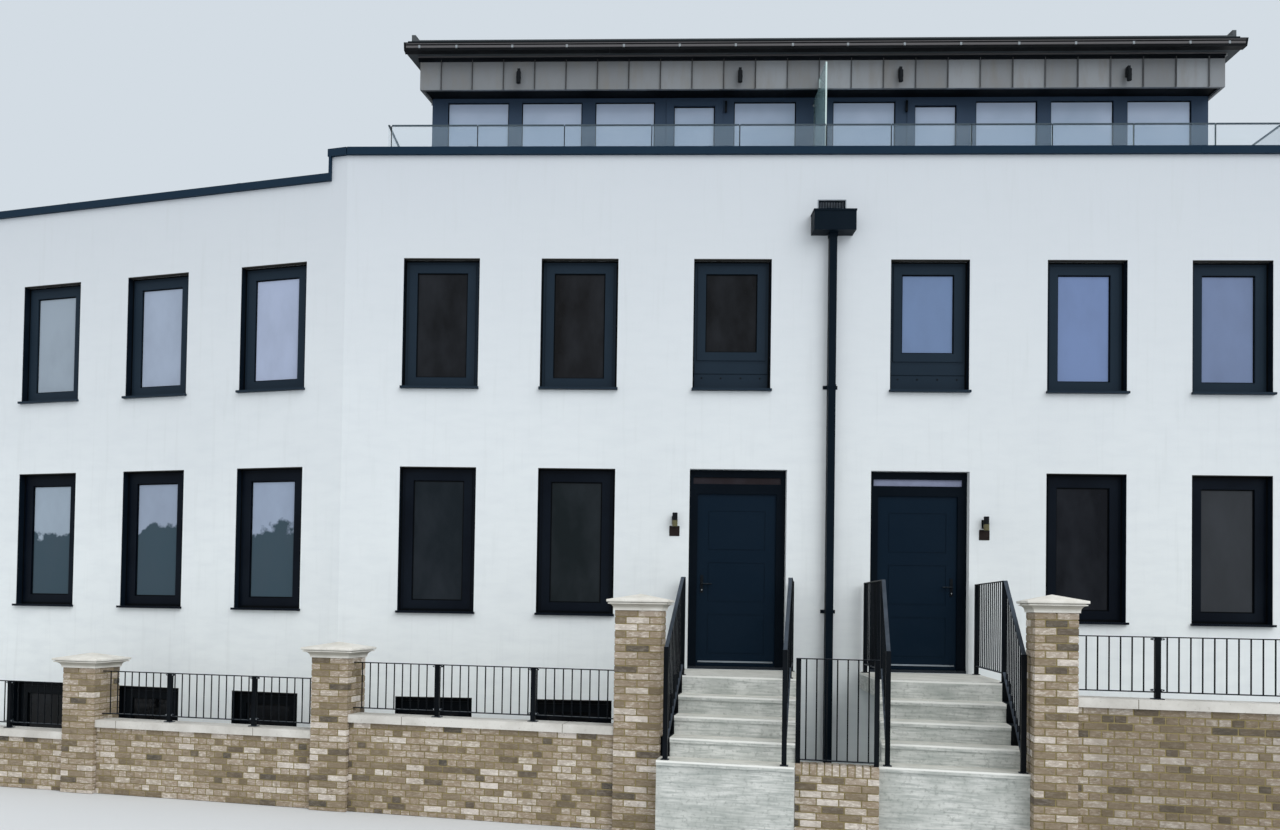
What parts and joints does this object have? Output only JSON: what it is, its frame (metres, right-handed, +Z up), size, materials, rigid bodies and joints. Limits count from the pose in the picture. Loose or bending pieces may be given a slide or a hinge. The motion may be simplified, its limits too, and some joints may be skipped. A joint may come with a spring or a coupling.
{
  "type": "terraced house row",
  "caption": "Rendered terraced houses with a canted wing, set-back glazed penthouse, front steps with railings and a brick boundary wall.",
  "frame": {"origin": "centre of the main block's footprint, at the lowest ground level", "axes": "+Z up, +X to the right along the main front as seen from the street, +Y from the street into the houses"},
  "size_m": [18.0358, 12.4407, 10.04],
  "materials": {
    "render": "matte",
    "party_brick": "matte",
    "concrete": "matte",
    "anthracite": "satin",
    "window_glass": "gloss",
    "threshold": "satin",
    "steel": "satin",
    "door_paint": "satin",
    "door_metal": "satin",
    "zinc": "matte",
    "roof_metal": "satin",
    "rail_channel": "satin",
    "clear_glass": "gloss",
    "railing": "satin",
    "brick": "matte",
    "cast_stone": "matte",
    "lamp_metal": "satin"
  },
  "bodies": {
    "building": {"base_slab": "concrete", "lower_ground_wall": "render", "ground_wall_left": "render", "ground_wall_centre": "render", "ground_wall_right": "render", "upper_front_wall": "render", "wing_wall": "render", "wing_end_wall": "party_brick", "right_party_wall": "party_brick", "rear_wall": "render", "ground_floor": "concrete", "first_floor": "concrete", "roof_deck": "concrete", "roof_party_parapet": "render", "parapet_copings": "anthracite", "front_window_frames": "anthracite", "front_window_glass": "window_glass", "rear_window_frames": "anthracite", "rear_window_glass": "window_glass", "window_sills": "anthracite", "door_jambs": "anthracite", "door_heads": "anthracite", "door_thresholds": "threshold", "transom_glass": "window_glass", "door_hinges": "steel", "penthouse_frames": "anthracite", "penthouse_glass": "window_glass", "penthouse_side_walls": "zinc", "penthouse_rear_wall": "zinc", "penthouse_soffit": "anthracite", "penthouse_fascia": "zinc", "penthouse_roof": "roof_metal", "eaves_gutter": "roof_metal", "balustrade_channel": "rail_channel", "balustrade_glass": "clear_glass", "privacy_screen": "clear_glass", "hopper_head": "anthracite", "outlet_grille": "anthracite", "downpipe": "anthracite", "left_steps": "concrete", "right_steps": "concrete", "left_landing": "concrete", "right_landing": "concrete", "left_stair_railings": "railing", "right_stair_railings": "railing", "boundary_walls": "brick", "boundary_copings": "cast_stone", "boundary_piers": "brick", "pier_caps": "cast_stone", "boundary_railings": "railing", "wall_lights": "lamp_metal"},
    "left_door": {"left_door": "door_paint", "left_door_fittings": "door_metal"},
    "right_door": {"right_door": "door_paint", "right_door_fittings": "door_metal"}
  },
  "joints": [
    {"name": "left_door_hinge", "type": "hinge", "parent": "building", "child": "left_door", "pos_m": [-0.6205, -4.017, 1.59], "axis": [0, 0, -1], "range_deg": [0, 95]},
    {"name": "right_door_hinge", "type": "hinge", "parent": "building", "child": "right_door", "pos_m": [0.6205, -4.017, 1.59], "axis": [0, 0, 1], "range_deg": [0, 95]}
  ]
}
